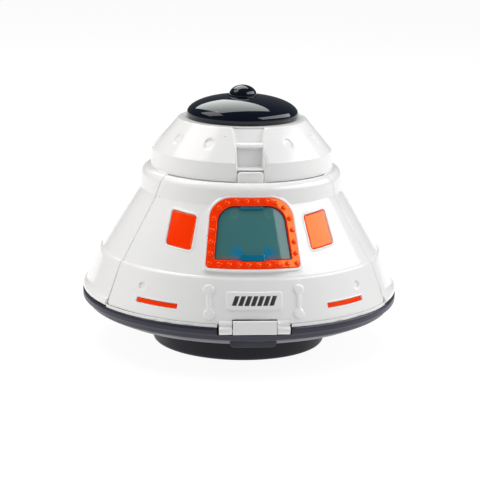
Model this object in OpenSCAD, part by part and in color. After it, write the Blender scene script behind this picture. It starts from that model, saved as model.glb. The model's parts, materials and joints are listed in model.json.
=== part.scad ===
// Toy space capsule: a blunt cone on a dark dish, with a front hatch that hinges down
// and a sprung button in its nose. Millimetres, +Z up, hatch towards -Y, origin at the
// centre of the foot's underside. Azimuths are counted from the front, positive to +X.

/* [Shell] */
// Radius of the widest ring, where the shell meets the dish
rim_r = 82.5; // [82:0.1:83]
// Height of the dish's rim above the table
rim_z = 27.8; // [27.6:0.1:28]
// Wall thickness of the moulded shell
wall = 2; // [1.6:0.1:2.2]
// Half angle of the hatch, seen from above
hatch_az = 60.3; // [60:0.1:62]
// Gap between the hatch and the parts round it
hatch_gap = 0.6; // [0.4:0.1:0.8]

/* [Nose] */
// Radius of the black dome
dome_r = 29.1; // [28.5:0.1:29.4]
// Height of the dome above its widest ring
dome_h = 9.8; // [9.6:0.1:10]
// Radius of the nose button
button_r = 7.2; // [7:0.1:7.3]
// Travel of the nose button
button_travel = 1.6; // [1:0.1:1.6]

/* [Foot] */
// Radius of the round foot
foot_r = 45.3; // [44:0.1:46]
// Height of the foot
foot_h = 13.9; // [13.6:0.1:14.1]

/* [Hinge] */
// Distance of the hinge axis in front of the capsule's axis
hinge_y = 80.4; // [80.3:0.1:80.5]
// Height of the hinge axis
hinge_z = 26.5; // [26.4:0.1:26.6]
// Radius of the hatch's hinge ears
ear_r = 2.1; // [2:0.05:2.2]
// Half width of the fixed middle knuckle
knuckle_half = 10.8; // [10:0.1:11]
// Outer half width of the two ears
ear_outer = 17.5; // [17.3:0.1:18.3]
// Radius of the hinge pin
pin_r = 0.8; // [0.7:0.05:0.9]

/* [Window] */
// Half width of the window frame at its foot
frame_half = 23.4; // [23:0.1:23.6]
// Width of the frame's border
frame_border = 3.9; // [3.6:0.1:4.1]
// Radius of one rivet head
rivet_r = 1.4; // [1:0.1:1.5]

/* [Hidden] */
$fn = 96;

white = "#ecebe6";
orange = "#ff4a12";
slate = "#3f4049";
charcoal = "#26252c";
gloss_black = "#12161f";
steel = "#b9bcc0";
eps = 0.01;
reach = 200;

// Shell outline, as radius and height
band_foot = [rim_r - 1.05, 30];
band_top = [73.4, 50.3];
slope_foot = [72.6, 50.9];
slope_top = [53, 81.9];
collar_r = 52.6;
collar_z = [82.7, 88.6];
mouth_r = 47.9;
mouth_z = 93.4;
bead_r = 2.35;
bead_c = [rim_r - bead_r, 30.2];

// Upper cone outline
cone_z0 = 93.6;
cone_band_r = [47.5, 46.9];
cone_band_z = 102.9;
cone_top_r = 34;
cone_top_z = 118;
cone_wall = 2;
seat_r = 25.4;
seat_z = 118.7;
skirt_z = 91;
skirt_r = 47.2;

// Floor and inner levels
deck_z = rim_z + 0.1;
deck_t = 1.5;
deck_r = 79;
ceiling_z = 91;
ceiling_t = 1.8;
ceiling_r = 45;
board_z = 110;
board_t = 1.6;
board_r = 24;
dish_floor_z = foot_h + 0.05;
dish_floor_r = 46;

// Screws: self-tapping, one pattern, in three lengths
screw_r = 1.2;
screw_head_r = 2.7;
screw_head_h = 1.8;
pilot_r = 1.25;
clear_r = 1.5;
well_r = 3.1;
boss_r = 3.2;
shell_screw_az = [100, 180, 260];
shell_screw_r = 71.5;
shell_boss_z = deck_z + deck_t + 0.1;
deck_screw_az = [-35, 35];
deck_screw_r = 64;
nose_screw_az = [110, 180, 250];
nose_screw_r = 42.2;
foot_screw_az = [60, 180, 300];
foot_screw_r = 34;
board_post_az = [90, 210, 330];
board_post_r = 20;
well_z = 23.7;
foot_well_z = 9;

// Side panes, slot bars, plate and rails, measured on the shell's skin
pane_az = 35;
pane_z = 70;
pane_size = [15.1, 18.4];
pane_corner = 1.6;
pane_lean = 0.128;
pane_rise = 0.1;
slot_az = [28.3, 45.8];
slot_z = [34.9, 37.1];
plate_z = 40.4;
plate_size = [27.2, 8.8];
plate_corner = 1.3;
rail_x = 22.1;
rail_turn = 6.3;
rail_z = 39.3;
rail_disc_r = 2.7;
rail_half = 6;
rail_w = 2.4;
raised = 0.7;
band_dimple = [44.8, 42.5];
band_dimple_r = 2.1;
cone_dimple_r = 2.7;
cone_dimple_z = [110.8, 105.8];

// Window: the raised pad is a cone of its own, set a little steeper than the slope
pad_foot = [72.1, 54];
pad_top = [52.6, 87];
pad_rim = 1.2;
frame_t = 1.6;
frame_proud = 0.25;
lens_back = 0.9;
lens_t = 1.6;
lens_gap = 0.1;
lens_ledge = 1;
tab_half = 5.6;
tab_z = [58.6, 81.6];
tab_h = [2.9, 1.3];

// Hinge clearances
knuckle_z = [24.4, 31.6];
knuckle_front = 82.4;
knuckle_depth = 5.4;
side_gap = 0.35;
ear_clear = 0.4;
ear_side = 0.9;
skin_clear_r = 5.95;

// Front channel of the upper cone
channel_half = [8.2, 6.9];
channel_cheek = 2;
tab_w = 13;
tab_top = 98.7;
tab_y = [46.1, 48];

// Button cells, in a row along X between two contacts
cell_r = 5.8;
cell_l = 5.4;
cell_y = -22;
cell_z = 99;
contact_x = 8.9;
contact_h = 10;
lead_r = 0.4;
cover_screw_x = 13.5;

// Speaker and switch
speaker_y = 10;
speaker_h = 5.4;
switch_z = board_z + board_t + 0.02;
switch_h = 5.2;

// Radius of a straight outline at height z, moved outward by d along its normal
function slant(a, b) = (b[0] - a[0]) / (b[1] - a[1]);
function lean(a, b) = atan(-slant(a, b));
function line_r(a, b, z, d = 0) = a[0] + slant(a, b) * (z - a[1]) + d / cos(lean(a, b));
function arc(c, r, a0, a1, n = 8) =
    [for (i = [0 : n]) let (a = a0 + (a1 - a0) * i / n) c + [r[0] * cos(a), r[1] * sin(a)]];
function mirrored(pts) = concat(pts, [for (i = [len(pts) - 1 : -1 : 0]) [-pts[i][0], pts[i][1]]]);
function polar(r, az) = [r * sin(az), -r * cos(az)];

// Skin above the bead, outer line from bottom to top
function skin_outer() = concat(
    [slope_foot, slope_top, [collar_r, collar_z[0]], [collar_r, collar_z[1]]],
    arc([mouth_r + 0.6, collar_z[1]], [collar_r - mouth_r - 0.6, mouth_z - collar_z[1]], 20, 90, 5),
    [[mouth_r, mouth_z]]
);
// The same line's inner face, from top to bottom
function skin_inner() = [
    [mouth_r, mouth_z - wall],
    [mouth_r + 1.8, mouth_z - wall - 0.3],
    [collar_r - wall, collar_z[1] - 0.6],
    [collar_r - wall, collar_z[0] + 0.6],
    [line_r(slope_foot, slope_top, slope_top[1] - 0.6, -wall), slope_top[1] - 0.6],
    [line_r(slope_foot, slope_top, slope_foot[1], -wall), slope_foot[1]],
    [line_r(band_foot, band_top, band_top[1] - 2, -wall), band_top[1] - 2]
];

// Revolves a radius-height outline between two azimuths
module sector(a0, a1) rotate([0, 0, a0 - 90]) rotate_extrude(angle = a1 - a0) children();

// Puts a shape on a leaning skin: its x runs round, its y up the skin, its z out of it
module on_skin(az, a, b, z, d = 0)
    rotate([0, 0, az]) translate([0, -line_r(a, b, z, d), z]) rotate([90 - lean(a, b), 0, 0])
        children();

// A ring between two offsets of a leaning line, for cutting to an outline
module layer(a, b, z, d)
    rotate_extrude() polygon([
        [line_r(a, b, z[0], d[0]), z[0]], [line_r(a, b, z[0], d[1]), z[0]],
        [line_r(a, b, z[1], d[1]), z[1]], [line_r(a, b, z[1], d[0]), z[1]]
    ]);

function rounded_corners(size, r) = concat(
    arc([size[0] / 2 - r, size[1] / 2 - r], [r, r], 0, 90, 5),
    arc([r - size[0] / 2, size[1] / 2 - r], [r, r], 90, 180, 5),
    arc([r - size[0] / 2, r - size[1] / 2], [r, r], 180, 270, 5),
    arc([size[0] / 2 - r, r - size[1] / 2], [r, r], 270, 360, 5)
);
module rounded_rect(size, r) polygon(rounded_corners(size, r));

module at_polar(r, azimuths) for (az = azimuths) translate(concat(polar(r, az), 0)) children();

// A pan-head screw with its head's underside at z0; points up
module screw(z0, length) {
    translate([0, 0, z0 - screw_head_h]) difference() {
        cylinder(r = screw_head_r, h = screw_head_h);
        for (turn = [0, 90]) rotate([0, 0, turn])
            translate([-1.6, -0.3, -eps]) cube([3.2, 0.6, 0.9]);
    }
    translate([0, 0, z0 - eps]) cylinder(r = screw_r, h = length);
}

// Front outline of the window in x and z, grown by g on all sides
module window_front(half, z, shoulder_half, radii, corner, g = 0)
    rotate([90, 0, 0]) linear_extrude(height = reach) polygon(mirrored(concat(
        arc([half + g - corner, z[0] - g + corner], [corner, corner], -90, 0, 4),
        arc([shoulder_half, z[1] + g - radii[1] - g], radii + [g, g], 0, 90, 10)
    )));
module frame_front(g = 0) window_front(frame_half, [55, 86.7], 9, [11.9, 10.5], 1.6, g);
module opening_front(g = 0)
    window_front(frame_half - frame_border - 0.3, [58.9, 83.1], 7.8, [9.3, 8.3], 0.5, g);
module pad_layer(d) layer(pad_foot, pad_top, [52, 90], d);

module foot() color(charcoal) difference() {
    union() {
        rotate_extrude() polygon(concat(
            [[0, 0.6], [30, 0.6], [31, 0]],
            arc([foot_r - 2, 2], [2, 2], -90, 0, 5),
            [[foot_r + 0.4, foot_h], [foot_r - wall, foot_h], [foot_r - wall - 0.4, 2.6], [0, 2.6]]
        ));
        at_polar(foot_screw_r, foot_screw_az) translate([0, 0, 1]) cylinder(r = 4.6, h = foot_h - 1);
    }
    at_polar(foot_screw_r, foot_screw_az) {
        translate([0, 0, -1]) cylinder(r = well_r, h = foot_well_z + 1);
        cylinder(r = clear_r, h = foot_h + 1);
    }
}

module foot_screws() color(steel)
    at_polar(foot_screw_r, foot_screw_az) screw(foot_well_z - 0.05, 13);

module base_dish() color(slate) difference() {
    union() {
        rotate_extrude() polygon([
            [0, dish_floor_z], [dish_floor_r, dish_floor_z], [60, 15.4], [70.7, 16.6],
            [75.2, 18.6], [77.6, 19.8], [79.1, 20.8], [80.2, 23.2], [82, 23.8],
            [rim_r - 0.1, 24.5], [rim_r, rim_z], [rim_r - 2, rim_z], [rim_r - 2.2, 25.6],
            [78.4, 25], [77, 22], [74.4, 20.4], [70.2, 18.7], [60, 17.4],
            [dish_floor_r, dish_floor_z + wall], [0, dish_floor_z + wall]
        ]);
        // Finger lip under the hinge
        translate([0, -69, 0]) rotate([90, 0, 0]) linear_extrude(height = 7.2)
            translate([0, 18.5]) rounded_rect([23.2, 4.2], 2);
        // Block behind the hinge cut-out
        intersection() {
            translate([-ear_outer - 3, -rim_r, 19]) cube([2 * ear_outer + 6, 12, rim_z - 19]);
            rotate_extrude() polygon([[70, 18], [74, 18.4], [78.9, 20.9], [80, rim_z], [70, rim_z]]);
        }
        at_polar(shell_screw_r, shell_screw_az)
            translate([0, 0, 18.2]) cylinder(r = 4.4, h = rim_z - 18.2);
        at_polar(deck_screw_r, deck_screw_az)
            translate([0, 0, 16.4]) cylinder(r = 4.4, h = rim_z - 16.4);
        at_polar(foot_screw_r, foot_screw_az)
            translate([0, 0, dish_floor_z]) cylinder(r = boss_r, h = 11);
    }
    // Room for the knuckle, the ears and their swing
    translate([-ear_outer - ear_side, -reach, hinge_z - ear_r - ear_clear])
        cube([2 * (ear_outer + ear_side), reach - hinge_y + knuckle_depth + 0.2, 20]);
    for (at = [[shell_screw_r, shell_screw_az], [deck_screw_r, deck_screw_az]])
        at_polar(at[0], at[1]) {
            translate([0, 0, 10]) cylinder(r = well_r, h = well_z - 10);
            cylinder(r = clear_r, h = rim_z + 1);
        }
    at_polar(foot_screw_r, foot_screw_az) cylinder(r = pilot_r, h = dish_floor_z + 9.5);
}

module base_screws() color(steel) {
    at_polar(shell_screw_r, shell_screw_az) screw(well_z - 0.05, 16);
    at_polar(deck_screw_r, deck_screw_az) screw(well_z - 0.05, 11);
}

module floor_deck() color(white) difference() {
    union() {
        translate([0, 0, deck_z]) cylinder(r = deck_r, h = deck_t);
        // Flange that shows under the hatch
        sector(-hatch_az - 0.3, hatch_az + 0.3)
            translate([70, deck_z]) square([rim_r - 0.5 - 70, deck_t]);
        // Middle knuckle of the hinge, flat in front
        translate([-knuckle_half, 0, 0]) rotate([90, 0, 90]) linear_extrude(height = 2 * knuckle_half)
            polygon(concat(
                arc([1.1 - knuckle_front, knuckle_z[0] + 1.1], [1.1, 1.1], 180, 270, 4),
                [[-hinge_y + 1.6, knuckle_z[0] + 0.4], [-hinge_y + knuckle_depth, deck_z],
                 [-hinge_y + knuckle_depth, deck_z + deck_t], [-hinge_y + 0.6, deck_z + deck_t]],
                arc([0.9 - knuckle_front, knuckle_z[1] - 0.9], [0.9, 0.9], 60, 180, 5)
            ));
        at_polar(deck_screw_r, deck_screw_az) translate([0, 0, deck_z]) cylinder(r = boss_r, h = 8);
    }
    for (side = [-1, 1]) translate([side * (knuckle_half + ear_outer + ear_side) / 2, -reach / 2, deck_z])
        cube([ear_outer + ear_side - knuckle_half, reach - 2 * hinge_y + 10, 12], center = true);
    translate([-reach / 2, -hinge_y, hinge_z]) rotate([0, 90, 0]) cylinder(r = pin_r + 0.02, h = reach);
    at_polar(shell_screw_r, shell_screw_az) cylinder(r = clear_r, h = reach);
    at_polar(deck_screw_r, deck_screw_az) cylinder(r = pilot_r, h = deck_z + 7);
    seat_pegs(2.1, deck_z - 1);
}

module hinge_pin() color(steel)
    translate([-ear_outer + 0.9, -hinge_y, hinge_z]) rotate([0, 90, 0])
        cylinder(r = pin_r, h = 2 * ear_outer - 1.8);

module seat_pegs(r, z0) for (side = [-1, 1]) translate([side * 11, 14, z0]) cylinder(r = r, h = 3);

// Crew couch: one moulding, padded back, two arm rests, on two pegs
module cabin_seat() color("#c9ccd2") {
    seat_z = deck_z + deck_t + 0.05;
    translate([-16, 0, 0]) rotate([90, 0, 90]) linear_extrude(height = 32) polygon(concat(
        [[4, seat_z]],
        arc([6, seat_z + 9], [2, 2], 180, 90, 4),
        [[23, seat_z + 10]],
        arc([32, seat_z + 46], [3, 3], 165, 20, 6),
        [[32, seat_z + 8], [28, seat_z]]
    ));
    for (side = [-1, 1]) translate([side * 18 - 2, 0, 0]) rotate([90, 0, 90])
        linear_extrude(height = 4) polygon(concat(
            [[6, seat_z]],
            arc([9, seat_z + 15], [3, 3], 180, 90, 4),
            [[25, seat_z + 18], [29, seat_z + 18], [29, seat_z]]
        ));
    seat_pegs(2, deck_z + 0.2);
}

module rear_shell() color(white) difference() {
    union() {
        sector(hatch_az + hatch_gap, 360 - hatch_az - hatch_gap) polygon(concat(
            [[79.3, deck_z]],
            arc(bead_c, [bead_r, bead_r], -72, 78, 8),
            [band_top], skin_outer(), skin_inner(), [[deck_r + 0.3, deck_z + 3]]
        ));
        // Screw bosses, each with a rib to the wall
        intersection() {
            for (az = shell_screw_az) rotate([0, 0, az]) translate([0, -shell_screw_r, shell_boss_z]) {
                cylinder(r = boss_r, h = 12);
                translate([-1, -8, 0]) cube([2, 8, 12]);
            }
            rotate_extrude() polygon([[60, 28], [79.3, 28], [79.3, 31], [76, 42], [60, 42]]);
        }
        // Lugs that the upper cone is screwed to
        for (az = nose_screw_az) rotate([0, 0, az])
            translate([-4.5, -collar_r + 0.8, ceiling_z - 1.9]) cube([9, 14, 1.8]);
    }
    at_polar(shell_screw_r, shell_screw_az) cylinder(r = pilot_r, h = 41);
    at_polar(nose_screw_r, nose_screw_az) translate([0, 0, 80]) cylinder(r = clear_r, h = 20);
}

// A side pane leans away from the front at its top, and its outer end sits higher
module pane_outline(side, grow, d)
    intersection() {
        on_skin(side * pane_az, slope_foot, slope_top, pane_z) translate([0, 0, -8])
            linear_extrude(height = 14) polygon([
                for (p = rounded_corners(pane_size + [2 * grow, 2 * grow], pane_corner + grow))
                    [p[0] + side * pane_lean * p[1], p[1] + side * pane_rise * p[0]]
            ]);
        layer(slope_foot, slope_top, [54, 84], d);
    }

module slot_block(side, grow, d)
    intersection() {
        layer(band_foot, band_top, [slot_z[0] - grow, slot_z[1] + grow], d);
        rotate([0, 0, side > 0 ? 0 : -slot_az[0] - slot_az[1]])
            sector(slot_az[0] - grow * 0.72, slot_az[1] + grow * 0.72)
                translate([60, 0]) square([40, 90]);
    }

module dimple(a, b, az, z, r, depth) {
    ball = (r * r + depth * depth) / (2 * depth);
    on_skin(az, a, b, z, ball - depth) sphere(r = ball);
}

module front_hatch() color(white) difference() {
    union() {
        sector(-hatch_az, hatch_az) polygon(concat(
            [band_foot, band_top], skin_outer(), skin_inner(),
            [[line_r(band_foot, band_top, band_foot[1], -wall), band_foot[1]]]
        ));
        intersection() {
            frame_front(pad_rim);
            pad_layer([-3, 0]);
            rotate_extrude() polygon(concat(
                [[reach, 30], [reach, mouth_z]], skin_inner()
            ));
        }
        intersection() {
            layer(band_foot, band_top, [31, 50], [-0.5, raised]);
            union() {
                on_skin(0, band_foot, band_top, plate_z) translate([0, 0, -3])
                    linear_extrude(height = 8) rounded_rect(plate_size, plate_corner);
                for (side = [-1, 1])
                    on_skin(side * asin(rail_x / line_r(band_foot, band_top, rail_z)),
                            band_foot, band_top, rail_z)
                        translate([0, 0, -3]) rotate([0, 0, -side * rail_turn]) {
                            for (end = [-1, 1]) translate([0, end * rail_half, 0])
                                cylinder(r = rail_disc_r, h = 8);
                            translate([-rail_w / 2, -rail_half, 0]) cube([rail_w, 2 * rail_half, 8]);
                        }
            }
        }
        // Pull tab at the top edge
        intersection() {
            translate([0, -tab_y[0], 0]) rotate([90, 0, 0]) linear_extrude(height = tab_y[1] - tab_y[0])
                translate([0, (tab_top + mouth_z - wall) / 2])
                    rounded_rect([tab_w, tab_top - mouth_z + wall], 0.9);
            cylinder(r = tab_y[1], h = reach);
        }
        translate([-tab_w / 2, -mouth_r - 1.2, mouth_z - wall])
            cube([tab_w, mouth_r + 1.2 - tab_y[0], wall]);
        // Hinge ears, each on its web
        for (side = [-1, 1]) translate([side * (knuckle_half + side_gap + ear_outer) / 2, 0, 0]) {
            ear_w = ear_outer - knuckle_half - side_gap;
            translate([0, -hinge_y, hinge_z]) rotate([0, 90, 0])
                cylinder(r = ear_r, h = ear_w, center = true);
            translate([-ear_w / 2, -hinge_y - 0.4, hinge_z]) cube([ear_w, 2.4, 4.4]);
        }
    }
    // Seat of the window frame, the lens and the sight opening
    intersection() { frame_front(0.05); pad_layer([-frame_t - 0.05, 10]); }
    intersection() { opening_front(0); pad_layer([-lens_back - lens_t - 0.1, 0]); }
    opening_front(-lens_ledge);
    for (side = [-1, 1]) {
        pane_outline(side, 0.1, [-10, 10]);
        slot_block(side, 0.1, [-10, 10]);
        dimple(band_foot, band_top, side * band_dimple[0], band_dimple[1], band_dimple_r, 0.6);
        translate([side * (ear_outer + knuckle_half + side_gap) / 2 - side * 0.3, -hinge_y, hinge_z])
            rotate([0, 90, 0])
                cylinder(r = pin_r + 0.06, h = ear_outer - knuckle_half - side_gap - 0.5, center = true);
    }
    // Room over the middle knuckle
    translate([-knuckle_half - side_gap, -hinge_y, hinge_z]) rotate([0, 90, 0])
        cylinder(r = skin_clear_r, h = 2 * (knuckle_half + side_gap));
}

// Rivet heads: ten along the foot, three up each side, three round each shoulder, four on top
function rivet_xz() = concat(
    [for (i = [0 : 9]) [-21.7 + i * 43.4 / 9, 56.9]],
    [for (side = [-1, 1], i = [1 : 3]) [side * (21.7 - i * 0.55), 56.1 + i * 5.2]],
    [for (side = [-1, 1], a = [5, 42, 68]) [side * (8 + 10.8 * cos(a)), 76.2 + 8.6 * sin(a)]],
    [for (i = [0 : 3]) [-7.4 + i * 14.8 / 3, 85.2]]
);

module window_frame() color(orange) difference() {
    union() {
        intersection() { frame_front(0); pad_layer([-frame_t, frame_proud]); }
        for (p = rivet_xz()) {
            r = line_r(pad_foot, pad_top, p[1], frame_proud);
            on_skin(asin(p[0] / r), pad_foot, pad_top, p[1], frame_proud - 0.7)
                sphere(r = rivet_r);
        }
    }
    opening_front(0.05);
    translate([-tab_half - 0.1, -reach / 2, tab_z[0] - 0.15]) cube([2 * tab_half + 0.2, reach / 2, 3]);
    pad_layer([-20, -frame_t]);
}

module window_lens() color([0.1, 0.45, 0.5, 0.6]) {
    intersection() {
        opening_front(-lens_gap);
        pad_layer([-lens_back - lens_t, -lens_back]);
    }
    intersection() {
        for (i = [0, 1])
            translate([-tab_half, -reach / 2, tab_z[i]]) cube([2 * tab_half, reach / 2, tab_h[i]]);
        pad_layer([-lens_back - 0.6, 0.1]);
    }
}

module side_pane(side) color(orange) {
    pane_outline(side, 0, [-wall - 0.3, -0.5]);
    pane_outline(side, 1.4, [-wall - 1.2, -wall - 0.05]);
}
module side_pane_left() side_pane(-1);
module side_pane_right() side_pane(1);

module slot_bar(side) color(orange) {
    slot_block(side, 0, [-wall - 0.3, -0.35]);
    slot_block(side, 1.2, [-wall - 1.2, -wall - 0.05]);
}
module slot_bar_left() slot_bar(-1);
module slot_bar_right() slot_bar(1);

// Upper cone slope
cone_a = [cone_band_r[1], cone_band_z];
cone_b = [cone_top_r, cone_top_z];

// Back of the front channel, from its top to its foot: two steps, then the tab's recess
function channel_back() = [
    [cone_top_r - 2.4, cone_top_z + 0.7], [line_r(cone_a, cone_b, 117.4, -1.5), 117.4],
    [line_r(cone_a, cone_b, 111.6, -2.2), 111.6], [line_r(cone_a, cone_b, 111.2, -0.6), 111.2],
    [line_r(cone_a, cone_b, 109.8, -0.8), 109.8],
    [38.6, 109.6], [40.4, 99.9], [45.4, 99.6], [45.4, 98.9], [44.2, 98.7], [44.2, cone_z0 - 4]
];

module channel_front(grow)
    rotate([90, 0, 0]) linear_extrude(height = reach) polygon(mirrored([
        [channel_half[1] + grow, 80], [channel_half[1] + grow, 109],
        [channel_half[0] + grow, cone_top_z + 1]
    ]));

module upper_cone() color(white) difference() {
    union() {
        rotate_extrude() polygon([
            [cone_band_r[0], cone_z0], [cone_band_r[0], 94], cone_a, cone_b,
            [cone_top_r - 0.7, cone_top_z + 0.6], [seat_r, seat_z], [seat_r, seat_z - cone_wall],
            [line_r(cone_a, cone_b, 116.7, -cone_wall), 116.7],
            [cone_band_r[1] - cone_wall, cone_band_z - 0.7],
            [cone_band_r[0] - cone_wall - 0.3, skirt_z], [skirt_r, skirt_z], [skirt_r, cone_z0]
        ]);
        // Solid round the channel, thick enough for its steps
        intersection() {
            channel_front(channel_cheek);
            rotate_extrude() polygon([
                [30, 117], cone_b, cone_a, [cone_band_r[0], 94], [cone_band_r[0], cone_z0],
                [skirt_r, cone_z0], [skirt_r, skirt_z], [42.6, skirt_z], [42.6, 96.6],
                [38.4, 97.6], [36.6, 108.6], [31.4, 113.6]
            ]);
        }
        at_polar(nose_screw_r, nose_screw_az)
            translate([0, 0, ceiling_z + ceiling_t + 0.1]) cylinder(r = boss_r, h = 11.5);
    }
    intersection() {
        channel_front(0);
        rotate_extrude() polygon(concat(
            [[reach, cone_z0 - 4], [reach, reach], [cone_top_r - 2.4, reach]], channel_back()
        ));
    }
    for (az = [30 : 30 : 330])
        dimple(cone_a, cone_b, az, cone_dimple_z[az % 180 == 90 ? 1 : 0], cone_dimple_r, 0.6);
    at_polar(nose_screw_r, nose_screw_az) cylinder(r = pilot_r, h = 102.5);
}

module ceiling_plate() color(white) difference() {
    union() {
        translate([0, 0, ceiling_z]) cylinder(r = ceiling_r - 3, h = ceiling_t);
        intersection() {
            translate([0, 0, ceiling_z]) cylinder(r = ceiling_r - 0.2, h = ceiling_t);
            translate([-reach / 2, -41.5, 0]) cube(reach);
        }
        at_polar(board_post_r, board_post_az)
            translate([0, 0, ceiling_z]) cylinder(r = 2.6, h = board_z - ceiling_z - 0.05);
        // Walls of the cell holder
        translate([-11, cell_y - 8, ceiling_z]) cube([22, 16, 12]);
    }
    translate([-9.4, cell_y - 6.4, ceiling_z - 1]) cube([18.8, 12.8, 20]);
    translate([0, cell_y, 0]) for (side = [-1, 1])
        translate([side * cover_screw_x, 0, 80]) cylinder(r = pilot_r, h = 20);
    at_polar(nose_screw_r, nose_screw_az) translate([0, 0, 80]) cylinder(r = clear_r, h = 20);
    at_polar(board_post_r, board_post_az) translate([0, 0, 100]) cylinder(r = pilot_r, h = 20);
    // Sound holes under the speaker
    translate([0, speaker_y, 80]) {
        cylinder(r = 1, h = 20);
        for (a = [0 : 60 : 300]) rotate([0, 0, a]) translate([4, 0, 0]) cylinder(r = 1, h = 20);
    }
}

module nose_screws() color(steel)
    at_polar(nose_screw_r, nose_screw_az) screw(ceiling_z - 1.95, 12);

module battery_cover() color(white) difference() {
    translate([0, cell_y, ceiling_z - 1.65]) linear_extrude(height = 1.6) rounded_rect([34, 18], 3);
    for (side = [-1, 1]) translate([side * cover_screw_x, cell_y, 80]) cylinder(r = clear_r, h = 20);
}

module battery_screws() color(steel)
    for (side = [-1, 1]) translate([side * cover_screw_x, cell_y, 0]) screw(ceiling_z - 1.7, 3.3);

module button_cells() color(steel)
    for (i = [-1 : 1]) translate([i * (cell_l + 0.1) - cell_l / 2, cell_y, cell_z]) rotate([0, 90, 0]) {
        cylinder(r = cell_r, h = cell_l - 0.8);
        cylinder(r = cell_r - 0.9, h = cell_l);
    }

module cell_contacts() color("#c8a45a")
    for (side = [-1, 1]) translate([side * contact_x - 0.2, cell_y - 4, cell_z - 4])
        cube([0.4, 8, contact_h]);

// Speaker: magnet, basket and rim, face down on the ceiling plate
module speaker() color("#2b2b2f") translate([0, speaker_y, ceiling_z + ceiling_t + 0.05]) {
    cylinder(r = 9.5, h = 1.6);
    cylinder(r1 = 9, r2 = 6.5, h = 3.4);
    cylinder(r = 5.2, h = speaker_h);
}

module sound_board() color("#1f6b45") difference() {
    translate([0, 0, board_z]) cylinder(r = board_r, h = board_t);
    at_polar(board_post_r, board_post_az) translate([0, 0, 100]) cylinder(r = clear_r, h = 20);
}

module board_screws() color(steel)
    at_polar(board_post_r, board_post_az)
        translate([0, 0, board_z + board_t + 0.05]) rotate([180, 0, 0]) screw(0, 6);

module tact_switch() color("#33343a") translate([0, 0, switch_z]) {
    translate([-3, -3, 0]) cube([6, 6, 3.5]);
    cylinder(r = 1.7, h = switch_h);
}

module board_leds() color([1, 0.3, 0.25])
    for (side = [-1, 1]) translate([side * 14, -4, board_z + board_t + 0.02]) {
        cylinder(r = 2.9, h = 1);
        cylinder(r = 2.5, h = 3.4);
        translate([0, 0, 3.4]) sphere(r = 2.5);
    }

// Four leads from the board down to the speaker and to the cell contacts
module lead_wires() color("#b02020") {
    speaker_top = ceiling_z + ceiling_t + 0.05 + speaker_h;
    contact_top = cell_z - 4 + contact_h;
    for (x = [-2.5, 2.5])
        translate([x, speaker_y, speaker_top + 0.05]) cylinder(r = lead_r, h = board_z - speaker_top - 0.1);
    for (side = [-1, 1])
        translate([side * contact_x, cell_y + 3, contact_top + 0.05])
            cylinder(r = lead_r, h = board_z - contact_top - 0.1);
}

module nose_dome() color(gloss_black) {
    widest_z = 120.9;
    brim = [2.7, 3.4];
    inner = [dome_r - 2, dome_h - 1.8];
    hole_r = button_r + 0.3;
    rotate_extrude() polygon(concat(
        [[seat_r - 2, seat_z - 3], [seat_r - 0.2, seat_z - 3], [seat_r - 0.2, seat_z + 0.1]],
        arc([dome_r - brim[0], widest_z], brim, -38, -8, 5),
        arc([0, widest_z], [dome_r, dome_h], 0, acos(hole_r / dome_r), 14),
        arc([0, widest_z], inner, acos(hole_r / inner[0]), 12, 12),
        [[seat_r - 2, seat_z + 1.6]]
    ));
}

module nose_button() color(gloss_black) {
    cap_z = 130.4;
    flange_z = [126.3, 127.9];
    stem_z = switch_z + switch_h + 0.38 + button_travel;
    rotate_extrude() polygon(concat(
        [[0, stem_z], [2, stem_z], [2, flange_z[0]], [9.2, flange_z[0]], [9.2, flange_z[1]],
         [button_r, flange_z[1]]],
        arc([0, cap_z], [button_r, 5.2], 0, 90, 12)
    ));
}

// Coil spring between the board and the button's flange
spring_z = [board_z + board_t + 0.5, 125.85];
spring_turns = 6;
spring_r = 5.6;
wire_r = 0.35;
ring_n = 18;
wire_n = 6;
function spring_ring(i) =
    let (n = spring_turns * ring_n, a = 360 * i / ring_n,
         z = spring_z[0] + (spring_z[1] - spring_z[0]) * i / n)
    [for (j = [0 : wire_n - 1]) let (b = 360 * j / wire_n)
        [(spring_r + wire_r * cos(b)) * cos(a), (spring_r + wire_r * cos(b)) * sin(a),
         z + wire_r * sin(b)]];
module button_spring() color(steel) {
    n = spring_turns * ring_n;
    points = [for (i = [0 : n]) each spring_ring(i)];
    sides = [for (i = [0 : n - 1], j = [0 : wire_n - 1])
        let (k = (j + 1) % wire_n)
        [i * wire_n + j, i * wire_n + k, (i + 1) * wire_n + k, (i + 1) * wire_n + j]];
    first_end = [for (j = [wire_n - 1 : -1 : 0]) j];
    last_end = [for (j = [0 : wire_n - 1]) n * wire_n + j];
    polyhedron(points = points, faces = concat(sides, [first_end, last_end]));
}

foot();
foot_screws();
base_dish();
base_screws();
floor_deck();
hinge_pin();
cabin_seat();
rear_shell();
front_hatch();
window_frame();
window_lens();
side_pane_left();
side_pane_right();
slot_bar_left();
slot_bar_right();
upper_cone();
ceiling_plate();
nose_screws();
battery_cover();
battery_screws();
button_cells();
cell_contacts();
speaker();
sound_board();
board_screws();
tact_switch();
board_leds();
lead_wires();
nose_dome();
nose_button();
button_spring();
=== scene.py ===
"""Looks of the toy space capsule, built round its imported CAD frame.

Shells are sheets with two faces: a flat map of azimuth and length along the shell's outline is
triangulated with every edge, recess and raised shape as its own loops, then wrapped round the axis.
Lengths are in millimetres up to Sheet.mesh, which makes metres.
"""
import json
import math

import bpy
import bmesh
import numpy as np
from mathutils import Matrix, Vector
from mathutils.geometry import delaunay_2d_cdt


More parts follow.
